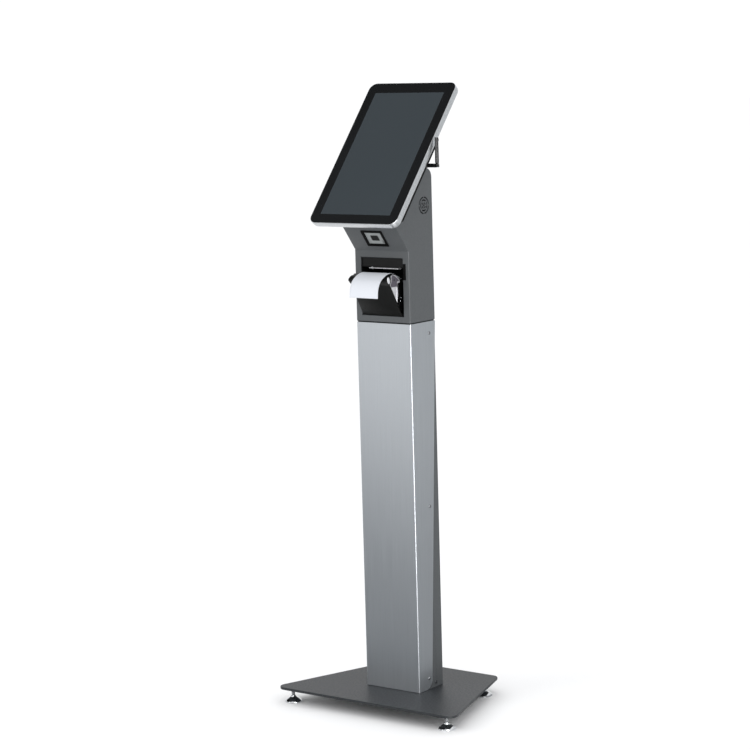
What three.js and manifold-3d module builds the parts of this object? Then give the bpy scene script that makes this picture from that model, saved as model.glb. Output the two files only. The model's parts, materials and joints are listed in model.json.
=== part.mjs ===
// A floor-standing touchscreen kiosk: a portrait display tilted back on a folded steel head, with a
// code scanner, a receipt printer whose cover stands open, two loudspeakers, and a slim column on a
// base plate with four levelling feet.
// Millimetres, +Z up. The origin is on the floor under the middle of the base plate, and the kiosk
// faces -Y, with +X on the right of someone who looks at it from the front.

import * as THREE from "three";
import { mergeVertices } from "three/addons/utils/BufferGeometryUtils.js";
import Module from "manifold-3d";

const wasm = await Module();
wasm.setup();

const degrees = THREE.MathUtils.degToRad;

// ---------------------------------------------------------------- driving dimensions

const GAP = 0.3; // between pieces that touch inside a tilted group
const CLEARANCE = 0.4; // round a moving or inserted piece

const BASE = {
  frontWidth: 514,
  rearWidth: 296,
  depth: 344,
  thickness: 6,
  topZ: 37.6,
  cornerRadius: 20,
};

const FOOT = {
  frontX: 220,
  frontY: -148.5,
  rearX: 137,
  rearY: 124,
  padRadius: 20,
  padHeight: 15.5,
  neckRadius: 6.5,
  stemRadius: 4.5,
  stemBottomZ: 7.5,
  boreDepth: 5.2, // blind, from the underside of the base plate
};

const COLUMN = { width: 152, frontY: -50, rearY: 47, topZ: 897 };
const COVER = {
  sheet: 1.5,
  bendRadius: 2.5,
  lowerFlange: 51.5, // depth of the side flange where it meets the base plate
  upperFlange: 97,
  lowerCornerRadius: 24,
  liftOffBase: 0.7,
};
const CHANNEL = { halfWidth: 74.2, wall: 2.5, lip: 14, frontY: -48 };

// Each cover screw's height and its distance behind the column's front face.
const COVER_SCREWS = { upper: [870, 72.5], middle: [468.5, 58.7], lower: [65, 40.2] };
const CHANNEL_SCREW = { y: 19.5, z: 49 };
const SCREW = { headRadius: 4, headHeight: 2.2, shankRadius: 2, length: 8 };
const FLANGE = { thickness: 6, tabX: 66, tabHeight: 24, tabHalfLength: 16 };
const INLET = {
  z: 112,
  bodyHalfWidth: 13.7,
  bodyHalfHeight: 10,
  flangeHalfWidth: 25,
  flangeHalfHeight: 14,
};

const SEAM = 2; // the recessed plate between column and head
const HEAD = {
  bottomZ: COLUMN.topZ + SEAM,
  creaseZ: 1063.5,
  topZ: 1247,
  slant: degrees(38.6), // of the scanner face, forward from the vertical
  wall: 2,
  rearRadius: 20,
};

const DISPLAY = {
  width: 241.6,
  height: 396,
  cornerRadius: 18,
  lean: degrees(40), // of the glass, back from the vertical
  bottomY: COLUMN.frontY - 111.6, // lower edge of the front of the glass
  bottomZ: 1134,
  glass: 2.7,
  frameLip: 0.4, // how far the rim round the glass lies behind its face
  frameFront: 3,
  frameBack: 17,
  frameOverhang: 1,
  frameWall: 9,
  backPlate: 2,
};
const ACTIVE = { width: 193.6, height: 344.2, bottom: 23.7, border: 5 };
const HOUSING = { halfWidth: 95, bottom: 42, top: 276, back: 52, wall: 2, cornerRadius: 6 };
const MOUNT_PLATE = { halfWidth: 70, bottom: 56, top: 180, thickness: 2.5 };

const AERIAL = { x: 130, up: 192, depth: 41, radius: 4.5, rodLength: 63 };
const POWER_BUTTON = { radius: 4, up: 235, depth: 35, stands: 1.5 };

const SCANNER = {
  bottom: 14.5, // above the crease, along the scanner face
  width: 59,
  height: 47,
  lightWidth: 46,
  lightHeight: 35,
  windowWidth: 21,
  windowHeight: 15.5,
  flange: 1.7,
  sleeveWall: 4,
};

const SPEAKER = { y: 14, z: 1163, rings: [18.5, 12.2, 6], slot: 3.2, flangeRadius: 25, depth: 20 };

const BAY = { halfWidth: 59, bottomZ: 914, topZ: 1047 }; // the printer's opening in the head's front
const LATCH = { outerX: 67, bottomZ: 997.5, topZ: 1034.5 };
const CHASSIS = { halfWidth: 59.5, wall: 1.5, frontY: -47.7, rearY: 36 };
const CHEEK = { x: 42.5, thickness: 1.5, frontY: -46.8, topZ: 984 }; // on both sides of the paper roll
const HINGE = { y: -46.5, z: 918, pinRadius: 2, knuckleRadius: 4.2 };
const PRINTER_COVER = { leftX: -57.4, rightX: 51.8, hoodInset: 2.9 };
const STRIKER = { y: -50, z: 82, radius: 2.6, capRadii: [4.2, 8], capLean: 0.25 }; // from the hinge
const PLATEN = { y: -27.5, z: 82, radius: 7.5, shaftRadius: 2.5, halfLength: 41 }; // from the same
const PAPER = {
  halfWidth: 39.75,
  thickness: 0.8,
  rollRadius: 28,
  coreRadius: 9,
  rollY: 0,
  rollZ: 954.5,
};
const SPINDLE_RADIUS = 6;

const DOOR = {
  halfWidth: 60.5,
  bottomZ: 917,
  topZ: 1213,
  gap: 1,
  sheet: 2,
  returnDepth: 8,
  returnSheet: 1.5,
};
const DOOR_HINGE = {
  x: -65.5,
  y: 50.6,
  barrelRadius: 3.2,
  pinRadius: 1.5,
  knuckle: 12,
  heights: [960, 1170],
};
const LOCK = { x: 47, z: 1085, radius: 9.5, plugRadius: 7, camLength: 20 };

// ---------------------------------------------------------------- materials

function finish(color, roughness, metalness) {
  return new THREE.MeshStandardMaterial({ color, roughness, metalness });
}

const powderCoat = finish("#5f6264", 0.6, 0.1);
const brushedSilver = finish("#a9adb1", 0.35, 0.9);
const anodisedSilver = finish("#c8cacb", 0.35, 0.8);
const chrome = finish("#d8dadb", 0.08, 1);
const steel = finish("#9a9a9c", 0.3, 1);
const blackPlastic = finish("#262622", 0.5, 0);
const blackMetal = finish("#1c1f20", 0.5, 0.2);
const paleDiffuser = finish("#c3c5c4", 0.6, 0);
const coverGlass = finish("#1c1f20", 0.05, 0);
const screenFace = finish("#40464a", 0.15, 0);
const rubber = finish("#2b2b2d", 0.8, 0);
const greyPlastic = finish("#6b6b70", 0.5, 0);
const paper = finish("#eceef2", 0.9, 0);
const cardboard = finish("#b59a74", 0.9, 0);
const circuitBoard = finish("#2c4a38", 0.6, 0);

// ---------------------------------------------------------------- shape helpers

// A closed outline through corners [x, y] or [x, y, radius]; a corner with a radius becomes an arc.
function outline(corners) {
  const shape = new THREE.Shape();
  corners.forEach(([x, y, radius = 0], i) => {
    const corner = new THREE.Vector2(x, y);
    const before = corners[(i + corners.length - 1) % corners.length];
    const after = corners[(i + 1) % corners.length];
    const toBefore = new THREE.Vector2(before[0], before[1]).sub(corner).normalize();
    const toAfter = new THREE.Vector2(after[0], after[1]).sub(corner).normalize();
    if (radius > 0) {
      const half = Math.acos(THREE.MathUtils.clamp(toBefore.dot(toAfter), -1, 1)) / 2;
      const reach = radius / Math.tan(half);
      const start = corner.clone().addScaledVector(toBefore, reach);
      const end = corner.clone().addScaledVector(toAfter, reach);
      const bisector = toBefore.clone().add(toAfter).normalize();
      const middle = corner.clone().addScaledVector(bisector, radius / Math.sin(half));
      const clockwise = toBefore.cross(toAfter) > 0;
      const from = Math.atan2(start.y - middle.y, start.x - middle.x);
      const to = Math.atan2(end.y - middle.y, end.x - middle.x);
      if (i > 0) shape.lineTo(start.x, start.y);
      shape.absarc(middle.x, middle.y, radius, from, to, clockwise);
    } else if (i === 0) shape.moveTo(x, y);
    else shape.lineTo(x, y);
  });
  return shape;
}

// A rectangle between two corners, each of its own corners rounded alike.
function rectangle(x0, y0, x1, y1, radius = 0) {
  return outline([
    [x0, y0, radius],
    [x1, y0, radius],
    [x1, y1, radius],
    [x0, y1, radius],
  ]);
}

function extrude(shape, depth, segments) {
  return new THREE.ExtrudeGeometry(shape, { depth, bevelEnabled: false, curveSegments: segments });
}

// A plan outline in (x, y), from z0 up to z1.
function prismZ(shape, z0, z1, segments = 5) {
  return extrude(shape, z1 - z0, segments).translate(0, 0, z0);
}

// A side outline in (y, z), from x0 to x1.
function prismX(shape, x0, x1, segments = 5) {
  const sideways = new THREE.Matrix4().makeBasis(
    new THREE.Vector3(0, 1, 0),
    new THREE.Vector3(0, 0, 1),
    new THREE.Vector3(1, 0, 0),
  );
  return extrude(shape, x1 - x0, segments).applyMatrix4(sideways).translate(x0, 0, 0);
}

// A front outline in (x, z), from y0 back to y1.
function prismY(shape, y0, y1, segments = 5) {
  return extrude(shape, y1 - y0, segments).rotateX(Math.PI / 2).translate(0, y1, 0);
}

function box(x0, y0, z0, x1, y1, z1) {
  const size = new THREE.BoxGeometry(x1 - x0, y1 - y0, z1 - z0);
  return size.translate((x0 + x1) / 2, (y0 + y1) / 2, (z0 + z1) / 2);
}

// Round bars along each axis, from one coordinate to another.
function barX(radius, x0, x1, y, z, sides = 20) {
  const bar = new THREE.CylinderGeometry(radius, radius, x1 - x0, sides).rotateZ(-Math.PI / 2);
  return bar.translate((x0 + x1) / 2, y, z);
}

function barY(radius, y0, y1, x, z, sides = 20) {
  return new THREE.CylinderGeometry(radius, radius, y1 - y0, sides).translate(x, (y0 + y1) / 2, z);
}

function barZ(radius, z0, z1, x, y, sides = 20) {
  const bar = new THREE.CylinderGeometry(radius, radius, z1 - z0, sides).rotateX(Math.PI / 2);
  return bar.translate(x, y, (z0 + z1) / 2);
}

// A turned shape about Z from a closed profile of [radius, z] points.
function turnedZ(profile, sides = 32) {
  const points = profile.map(([radius, z]) => new THREE.Vector2(radius, z));
  return new THREE.LatheGeometry(points, sides).rotateX(Math.PI / 2);
}

// ---------------------------------------------------------------- joining and cutting

function solidOf(geometry) {
  const bare = new THREE.BufferGeometry();
  bare.setAttribute("position", geometry.getAttribute("position"));
  bare.setIndex(geometry.getIndex());
  const merged = mergeVertices(bare, 1e-3);
  const vertProperties = merged.attributes.position.array;
  const triVerts = new Uint32Array(merged.index.array);
  return new wasm.Manifold(new wasm.Mesh({ numProp: 3, vertProperties, triVerts }));
}

function geometryOf(solid) {
  const { vertProperties, triVerts } = solid.getMesh();
  const geometry = new THREE.BufferGeometry();
  geometry.setAttribute("position", new THREE.BufferAttribute(vertProperties, 3));
  geometry.setIndex(new THREE.BufferAttribute(triVerts, 1));
  geometry.computeVertexNormals();
  return geometry;
}

function cut(body, ...tools) {
  return geometryOf(tools.reduce((left, tool) => left.subtract(solidOf(tool)), solidOf(body)));
}

function join(first, ...others) {
  return geometryOf(others.reduce((whole, other) => whole.add(solidOf(other)), solidOf(first)));
}

function common(a, b) {
  return geometryOf(solidOf(a).intersect(solidOf(b)));
}

function piece(name, geometry, material, parent = kiosk) {
  const mesh = new THREE.Mesh(geometry, material);
  mesh.name = name;
  parent.add(mesh);
  return mesh;
}

// ---------------------------------------------------------------- the frames of the two sloping faces

const kiosk = new THREE.Group();

// The display's own frame: x across, y up the glass from its lower edge, z out of the glass.
const display = new THREE.Group();
display.position.set(0, DISPLAY.bottomY, DISPLAY.bottomZ);
display.rotation.x = Math.PI / 2 - DISPLAY.lean;
kiosk.add(display);

// The scanner face's own frame: x across, y up the face from the crease, z out of the face.
const scannerFace = new THREE.Group();
scannerFace.position.set(0, COLUMN.frontY, HEAD.creaseZ);
scannerFace.rotation.x = Math.PI / 2 + HEAD.slant;
kiosk.add(scannerFace);

display.updateMatrix();
scannerFace.updateMatrix();

// The (y, z) of a point of the display's middle plane, by its distance up the glass and behind it.
function behindGlass(up, depth) {
  const point = new THREE.Vector3(0, up, -depth).applyMatrix4(display.matrix);
  return [point.y, point.z];
}

// Where the line through a and b crosses the line through c and d.
function crossing([ax, ay], [bx, by], [cx, cy], [dx, dy]) {
  const across = (bx - ax) * (dy - cy) - (by - ay) * (dx - cx);
  const along = ((cx - ax) * (dy - cy) - (cy - ay) * (dx - cx)) / across;
  return [ax + (bx - ax) * along, ay + (by - ay) * along];
}

// An outline's corners moved inwards, each side by its own distance; sides run on from corner i.
function inset(corners, distances) {
  const sides = corners.map(([x, y], i) => {
    const [nextX, nextY] = corners[(i + 1) % corners.length];
    const length = Math.hypot(nextX - x, nextY - y);
    const inX = (-(nextY - y) / length) * distances[i];
    const inY = ((nextX - x) / length) * distances[i];
    return [
      [x + inX, y + inY],
      [nextX + inX, nextY + inY],
    ];
  });
  return sides.map((side, i) => {
    const before = sides[(i + sides.length - 1) % sides.length];
    return crossing(before[0], before[1], side[0], side[1]);
  });
}

// ---------------------------------------------------------------- base and feet

const FEET = {
  front_left: [-FOOT.frontX, FOOT.frontY],
  front_right: [FOOT.frontX, FOOT.frontY],
  rear_left: [-FOOT.rearX, FOOT.rearY],
  rear_right: [FOOT.rearX, FOOT.rearY],
};

function makeBasePlate() {
  const front = BASE.frontWidth / 2;
  const rear = BASE.rearWidth / 2;
  const reach = BASE.depth / 2;
  const bottomZ = BASE.topZ - BASE.thickness;
  const plan = outline([
    [-front, -reach, BASE.cornerRadius],
    [front, -reach, BASE.cornerRadius],
    [rear, reach, BASE.cornerRadius],
    [-rear, reach, BASE.cornerRadius],
  ]);
  const bores = Object.values(FEET).map(([x, y]) =>
    barZ(FOOT.stemRadius + CLEARANCE, bottomZ - 1, bottomZ + FOOT.boreDepth, x, y),
  );
  piece("base_plate", cut(prismZ(plan, bottomZ, BASE.topZ, 6), ...bores), powderCoat);
}

function makeFoot(place, [x, y]) {
  const { padRadius, padHeight, neckRadius, stemRadius, stemBottomZ } = FOOT;
  const socketRadius = stemRadius + CLEARANCE;
  const pad = turnedZ(
    [
      [0, 0],
      [padRadius, 0],
      [padRadius, 2.5],
      [padRadius - 2.4, 5.2],
      [padRadius - 5, 7.4],
      [padRadius - 8.2, 9.5],
      [neckRadius + 0.9, 12.6],
      [neckRadius, padHeight],
      [socketRadius, padHeight],
      [socketRadius, stemBottomZ - GAP],
      [0, stemBottomZ - GAP],
    ],
    20,
  );
  piece("foot_pad_" + place, pad.translate(x, y, 0), chrome);
  const stemTopZ = BASE.topZ - BASE.thickness + FOOT.boreDepth - GAP;
  piece("foot_stem_" + place, barZ(stemRadius, stemBottomZ, stemTopZ, x, y, 16), chrome);
}

// ---------------------------------------------------------------- column

function coverScrewPlaces() {
  const levels = Object.entries(COVER_SCREWS);
  return levels.map(([level, [z, back]]) => ({ level, z, y: COLUMN.frontY + back }));
}

function makeColumnFrontCover() {
  const half = COLUMN.width / 2;
  const { sheet, bendRadius } = COVER;
  const frontY = COLUMN.frontY;
  const folded = outline([
    [half, COLUMN.rearY],
    [half, frontY, bendRadius],
    [-half, frontY, bendRadius],
    [-half, COLUMN.rearY],
    [sheet - half, COLUMN.rearY],
    [sheet - half, frontY + sheet, bendRadius - sheet],
    [half - sheet, frontY + sheet, bendRadius - sheet],
    [half - sheet, COLUMN.rearY],
  ]);
  const bottomZ = BASE.topZ + COVER.liftOffBase;
  const flange = outline([
    [frontY - 1, bottomZ],
    [frontY + COVER.lowerFlange, bottomZ, COVER.lowerCornerRadius],
    [frontY + COVER.upperFlange, COLUMN.topZ],
    [frontY - 1, COLUMN.topZ],
  ]);
  const body = common(prismZ(folded, bottomZ, COLUMN.topZ, 4), prismX(flange, -half - 1, half + 1, 6));
  const holes = coverScrewPlaces().map(({ y, z }) =>
    barX(SCREW.shankRadius + CLEARANCE, -half - 1, half + 1, y, z, 12),
  );
  piece("column_front_cover", cut(body, ...holes), brushedSilver);
}

function makeColumnChannel() {
  const { halfWidth, wall, lip, frontY } = CHANNEL;
  const inner = halfWidth - wall;
  const bottomZ = BASE.topZ;
  const topZ = COLUMN.topZ;
  const tube = box(-halfWidth, frontY, bottomZ, halfWidth, COLUMN.rearY, topZ);
  const bore = box(-inner, frontY + wall, bottomZ - 1, inner, COLUMN.rearY - wall, topZ + 1);
  const mouthHalf = halfWidth - lip;
  const mouth = box(-mouthHalf, frontY - 1, bottomZ - 1, mouthHalf, frontY + wall + 1, topZ + 1);
  const holes = coverScrewPlaces().map(({ y, z }) =>
    barX(SCREW.shankRadius + CLEARANCE, -halfWidth - 1, halfWidth + 1, y, z, 12),
  );
  const footHoles = barX(
    SCREW.shankRadius + CLEARANCE,
    -halfWidth - 1,
    halfWidth + 1,
    CHANNEL_SCREW.y,
    CHANNEL_SCREW.z,
    12,
  );
  const inletHole = box(
    -INLET.bodyHalfWidth - GAP,
    40,
    INLET.z - INLET.bodyHalfHeight - GAP,
    INLET.bodyHalfWidth + GAP,
    60,
    INLET.z + INLET.bodyHalfHeight + GAP,
  );
  piece("column_channel", cut(tube, bore, mouth, ...holes, footHoles, inletHole), powderCoat);
}

// A screw through the side of the column at (y, z), with its head outside the face at x.
function sideScrew(name, side, faceX, y, z, material) {
  const { headRadius, headHeight, shankRadius, length } = SCREW;
  const profile = [
    [0, -length],
    [shankRadius, -length],
    [shankRadius, 0],
    [headRadius, 0],
    [headRadius, headHeight * 0.4],
    [headRadius * 0.6, headHeight],
    [0, headHeight],
  ];
  const screw = turnedZ(profile, 12).rotateY((side * Math.PI) / 2);
  piece(name, screw.translate(side * faceX, y, z), material);
}

function makeColumnScrews() {
  for (const [sideName, side] of [["left", -1], ["right", 1]]) {
    for (const { level, y, z } of coverScrewPlaces())
      sideScrew("cover_screw_" + sideName + "_" + level, side, COLUMN.width / 2, y, z, steel);
    const { y, z } = CHANNEL_SCREW;
    sideScrew("channel_screw_" + sideName, side, CHANNEL.halfWidth, y, z, blackMetal);
  }
}

// The plate that the channel stands over, with an upright tab on each side for the channel's screw.
function makeColumnFootFlange() {
  const halfWidth = CHANNEL.halfWidth - CHANNEL.wall - CLEARANCE;
  const frontY = CHANNEL.frontY + CHANNEL.wall + CLEARANCE;
  const rearY = COLUMN.rearY - CHANNEL.wall - CLEARANCE;
  const plate = box(-halfWidth, frontY, BASE.topZ, halfWidth, rearY, BASE.topZ + FLANGE.thickness);
  const tabs = [-1, 1].map((side) => {
    const [x0, x1] = [side * FLANGE.tabX, side * halfWidth].sort((a, b) => a - b);
    const [y0, y1] = [CHANNEL_SCREW.y - FLANGE.tabHalfLength, CHANNEL_SCREW.y + FLANGE.tabHalfLength];
    return box(x0, y0, BASE.topZ, x1, y1, BASE.topZ + FLANGE.tabHeight);
  });
  const bore = barX(SCREW.shankRadius + CLEARANCE, -80, 80, CHANNEL_SCREW.y, CHANNEL_SCREW.z, 12);
  piece("column_foot_flange", cut(join(plate, ...tabs), bore), powderCoat);
}

// A mains inlet low in the back of the column.
function makePowerInlet() {
  const { z, bodyHalfWidth, bodyHalfHeight, flangeHalfWidth, flangeHalfHeight } = INLET;
  const backY = COLUMN.rearY;
  const flange = prismY(
    rectangle(-flangeHalfWidth, z - flangeHalfHeight, flangeHalfWidth, z + flangeHalfHeight, 6),
    backY + GAP,
    backY + 3,
  );
  const body = prismY(
    rectangle(-bodyHalfWidth, z - bodyHalfHeight, bodyHalfWidth, z + bodyHalfHeight),
    backY - 22,
    backY + 1,
  );
  const socket = prismY(rectangle(-11.8, z - 7.8, 11.8, z + 7.8, 2), backY - 15, backY + 4);
  const blade = (x, height) => box(x - 1, backY - 16, height - 2.5, x + 1, backY - 2, height + 2.5);
  const blades = [blade(-7, z - 1.5), blade(0, z + 1.5), blade(7, z - 1.5)];
  piece("power_inlet", join(cut(join(flange, body), socket), ...blades), blackPlastic);
}

function makePowerSupply() {
  const rearY = COLUMN.rearY - CHANNEL.wall;
  piece("power_supply", prismY(rectangle(-34, 190, 34, 350, 4), rearY - 34, rearY, 3), blackPlastic);
}

// ---------------------------------------------------------------- head

// The head's side outline in (y, z), anticlockwise from the lower front corner. It stops short of the
// display's back plate, and has a step that the computer housing sits in.
function headCorners() {
  const crease = [COLUMN.frontY, HEAD.creaseZ];
  const upSlope = [crease[0] - Math.sin(HEAD.slant), crease[1] + Math.cos(HEAD.slant)];
  const plateDepth = DISPLAY.frameBack + GAP;
  const housingDepth = HOUSING.back + GAP;
  const stepUp = HOUSING.bottom - GAP;
  const lip = crossing(crease, upSlope, behindGlass(0, plateDepth), behindGlass(1, plateDepth));
  const step = behindGlass(stepUp, housingDepth);
  const housingBack = [behindGlass(0, housingDepth), behindGlass(1, housingDepth)];
  const ridge = crossing(...housingBack, [0, HEAD.topZ], [1, HEAD.topZ]);
  const rounding = [0, 1, 2, 3, 4, 5, 6].map((i) => {
    const angle = (i / 6) * (Math.PI / 2);
    return [
      COLUMN.rearY - HEAD.rearRadius * (1 - Math.cos(angle)),
      HEAD.topZ - HEAD.rearRadius * (1 - Math.sin(angle)),
    ];
  });
  const bottomRear = [COLUMN.rearY, HEAD.bottomZ];
  const bottomFront = [COLUMN.frontY, HEAD.bottomZ];
  return [bottomRear, ...rounding, ridge, step, lip, crease, bottomFront];
}

// The slots of a loudspeaker grille: a hole in the middle and rings of four arcs each.
function grilleSlots(side) {
  const x0 = side > 0 ? COLUMN.width / 2 - HEAD.wall - 1 : -COLUMN.width / 2 - 1;
  const x1 = x0 + HEAD.wall + 2;
  const slots = [barX(SPEAKER.slot * 0.8, x0, x1, SPEAKER.y, SPEAKER.z, 12)];
  SPEAKER.rings.forEach((radius, ring) => {
    for (let quarter = 0; quarter < 4; quarter++) {
      const turn = (quarter + (ring % 2) / 2) * (Math.PI / 2);
      const bridge = 1.5 / radius;
      const [from, to] = [turn + bridge, turn + Math.PI / 2 - bridge];
      const arc = new THREE.Shape();
      arc.absarc(SPEAKER.y, SPEAKER.z, radius + SPEAKER.slot / 2, from, to, false);
      arc.absarc(SPEAKER.y, SPEAKER.z, radius - SPEAKER.slot / 2, to, from, true);
      slots.push(prismX(arc, x0, x1, 2));
    }
  });
  return slots;
}

function makeHeadShell() {
  const half = COLUMN.width / 2;
  const outer = headCorners();
  const arcSides = 6;
  // Sides in order: back, rounding, top, slope under the housing, ledge, scanner face, front, bottom.
  const { wall } = HEAD;
  const open = -5; // past the edge, so that this side is left open
  const walls = [wall, ...Array(arcSides).fill(wall), wall, open, wall, wall, wall, open];
  const inner = inset(outer, walls);
  const shell = cut(
    prismX(outline(outer), -half, half),
    prismX(outline(inner), HEAD.wall - half, half - HEAD.wall),
  );
  const frontOpening = box(-BAY.halfWidth, -60, BAY.bottomZ, BAY.halfWidth, -40, BAY.topZ);
  const latchNotch = box(BAY.halfWidth - 1, -60, LATCH.bottomZ, LATCH.outerX, -40, LATCH.topZ);
  const scannerHole = box(
    -SCANNER.width / 2 + 2,
    SCANNER.bottom + 2,
    -8,
    SCANNER.width / 2 - 2,
    SCANNER.bottom + SCANNER.height - 2,
    8,
  ).applyMatrix4(scannerFace.matrix);
  const doorHole = box(
    -DOOR.halfWidth - DOOR.gap,
    40,
    DOOR.bottomZ - DOOR.gap,
    DOOR.halfWidth + DOOR.gap,
    60,
    DOOR.topZ + DOOR.gap,
  );
  const grilles = [...grilleSlots(1), ...grilleSlots(-1)];
  const opened = cut(shell, frontOpening, latchNotch, scannerHole, doorHole, ...grilles);
  const knuckles = DOOR_HINGE.heights.map((z) =>
    hingeKnuckle(z - DOOR_HINGE.knuckle, z - CLEARANCE, 2 - half, 6 - half),
  );
  piece("head_shell", join(opened, ...knuckles), powderCoat);
}

// A hinge barrel about the rear door's axis, with a web rooted in a sheet from rootX0 to rootX1.
function hingeKnuckle(z0, z1, rootX0, rootX1) {
  const { x, y, barrelRadius, pinRadius } = DOOR_HINGE;
  const sheetY = COLUMN.rearY;
  const barrel = barZ(barrelRadius, z0, z1, x, y, 16);
  const web = box(Math.min(x, rootX0), sheetY + GAP, z0, Math.max(x, rootX1), sheetY + 1.6, z1);
  const root = box(rootX0, sheetY - 1, z0, rootX1, sheetY + 1.6, z1);
  return cut(join(barrel, web, root), barZ(pinRadius + CLEARANCE / 2, z0 - 1, z1 + 1, x, y, 12));
}

function makeHeadJointPlate() {
  const half = COLUMN.width / 2 - 1.6;
  const plan = rectangle(-half, COLUMN.frontY + 1.6, half, COLUMN.rearY - 1.6, 2);
  const plate = prismZ(plan, COLUMN.topZ, HEAD.bottomZ, 3);
  const cableHole = prismZ(rectangle(-45, -28, 45, 28, 10), COLUMN.topZ - 1, HEAD.bottomZ + 1, 4);
  piece("head_joint_plate", cut(plate, cableHole), blackMetal);
}

function makeSpeaker(name, side) {
  const { flangeRadius, depth } = SPEAKER;
  const driver = turnedZ(
    [
      [0, 7],
      [6, 6],
      [18, 1.5],
      [21, 0.4],
      [flangeRadius, 0.4],
      [flangeRadius, 2.4],
      [22, 4],
      [13.5, 12],
      [13.5, depth],
      [0, depth],
    ],
    16,
  );
  const inward = driver.rotateY((-side * Math.PI) / 2);
  const mountX = side * (COLUMN.width / 2 - HEAD.wall);
  piece(name, inward.translate(mountX, SPEAKER.y, SPEAKER.z), blackPlastic);
}

// ---------------------------------------------------------------- rear service door and its lock

function makeRearDoor() {
  const { halfWidth, bottomZ, topZ, sheet, returnDepth, returnSheet } = DOOR;
  const backY = COLUMN.rearY;
  const leaf = box(-halfWidth, backY - sheet, bottomZ, halfWidth, backY, topZ);
  const ring = cut(
    box(-halfWidth, backY - returnDepth, bottomZ, halfWidth, backY - 1, topZ),
    box(
      returnSheet - halfWidth,
      backY - returnDepth - 1,
      bottomZ + returnSheet,
      halfWidth - returnSheet,
      backY,
      topZ - returnSheet,
    ),
  );
  const lockHole = barY(LOCK.plugRadius + 1 + GAP, backY - 5, backY + 5, LOCK.x, LOCK.z, 24);
  const vents = [];
  for (let row = 0; row < 6; row++) {
    const z = topZ - 40 - row * 8;
    vents.push(box(-30, backY - 5, z - 1.5, 30, backY + 5, z + 1.5));
  }
  const knuckles = DOOR_HINGE.heights.map((z) =>
    hingeKnuckle(z, z + DOOR_HINGE.knuckle, -halfWidth, 5 - halfWidth),
  );
  piece("rear_door", join(cut(join(leaf, ring), lockHole, ...vents), ...knuckles), powderCoat);
}

// One long pin through all the knuckles.
function makeRearDoorPin() {
  const [lower, upper] = DOOR_HINGE.heights;
  const reach = DOOR_HINGE.knuckle + 1;
  const pin = barZ(DOOR_HINGE.pinRadius, lower - reach, upper + reach, DOOR_HINGE.x, DOOR_HINGE.y, 12);
  piece("rear_door_pin", pin, steel);
}

function makeDoorLock() {
  const backY = COLUMN.rearY;
  const { x, z, radius, plugRadius, camLength } = LOCK;
  const sleeveRadius = plugRadius + 1;
  const rim = barY(radius, backY + GAP, backY + 2, x, z, 28);
  const sleeve = barY(sleeveRadius, backY - 8.6, backY + 1, x, z, 28);
  const bore = barY(plugRadius - 1.5, backY - 20, backY + 10, x, z, 24);
  piece("door_lock_barrel", cut(join(rim, sleeve), bore), chrome);
  const plug = barY(plugRadius - 1.5 - GAP, backY - 12, backY + 1.4, x, z, 24);
  const cam = box(x - 5, backY - 11.5, z - camLength, x + 5, backY - 9, z + 6);
  const keyway = box(x - 0.7, backY - 2, z - 3.5, x + 0.7, backY + 5, z + 3.5);
  piece("door_lock_cam", cut(join(plug, cam), keyway), steel);
}

// ---------------------------------------------------------------- code scanner

function makeScanner() {
  const { width, height, bottom, flange, sleeveWall } = SCANNER;
  const { lightWidth, lightHeight, windowWidth, windowHeight } = SCANNER;
  const middle = bottom + height / 2;
  const pane = (w, h, z0, z1, radius = 1) =>
    prismZ(rectangle(-w / 2, middle - h / 2, w / 2, middle + h / 2, radius), z0, z1, 3);
  const seatWidth = lightWidth + 2 * GAP;
  const seatHeight = lightHeight + 2 * GAP;
  const bezel = cut(
    join(
      pane(width, height, GAP, GAP + flange, 1.5),
      pane(seatWidth + sleeveWall, seatHeight + sleeveWall, -9, GAP + 0.5, 1),
    ),
    pane(seatWidth, seatHeight, -12, 5),
  );
  piece("scanner_bezel", bezel, blackPlastic, scannerFace);
  const light = cut(
    pane(lightWidth, lightHeight, -3, -0.5),
    pane(windowWidth + 2 * GAP, windowHeight + 2 * GAP, -6, 5, 2),
  );
  piece("scanner_light_frame", light, paleDiffuser, scannerFace);
  piece("scanner_window", pane(windowWidth, windowHeight, -3, -0.8, 2), coverGlass, scannerFace);
  piece("scanner_module", pane(42, 32, -36, -9.5, 3), blackPlastic, scannerFace);
}

// ---------------------------------------------------------------- receipt printer, fixed pieces

function makePrinterChassis() {
  const { halfWidth, wall, frontY, rearY } = CHASSIS;
  const bottomZ = BAY.bottomZ - wall - GAP;
  const topZ = BAY.topZ + 3;
  const bin = box(-halfWidth, frontY, bottomZ, halfWidth, rearY, topZ);
  const inner = halfWidth - wall;
  const inside = box(-inner, frontY - 1, bottomZ + wall, inner, rearY - wall, topZ + 1);
  const spindleHole = barX(SPINDLE_RADIUS + GAP, -70, 70, PAPER.rollY, PAPER.rollZ, 24);
  const pinHole = barX(HINGE.pinRadius + GAP, -70, 70, HINGE.y, HINGE.z, 16);
  const cheek = outline([
    [rearY - 0.5, bottomZ + 0.5],
    [HINGE.y + 7, bottomZ + 0.5],
    [HINGE.y + 7, HINGE.z + 5],
    [CHEEK.frontY, HINGE.z + 12],
    [CHEEK.frontY, CHEEK.topZ, 5],
    [rearY - 0.5, CHEEK.topZ],
  ]);
  const cheeks = [CHEEK.x, -CHEEK.x - CHEEK.thickness].map((x) =>
    prismX(cheek, x, x + CHEEK.thickness, 3),
  );
  piece("printer_chassis", cut(join(cut(bin, inside), ...cheeks), spindleHole, pinHole), blackMetal);
}

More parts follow.
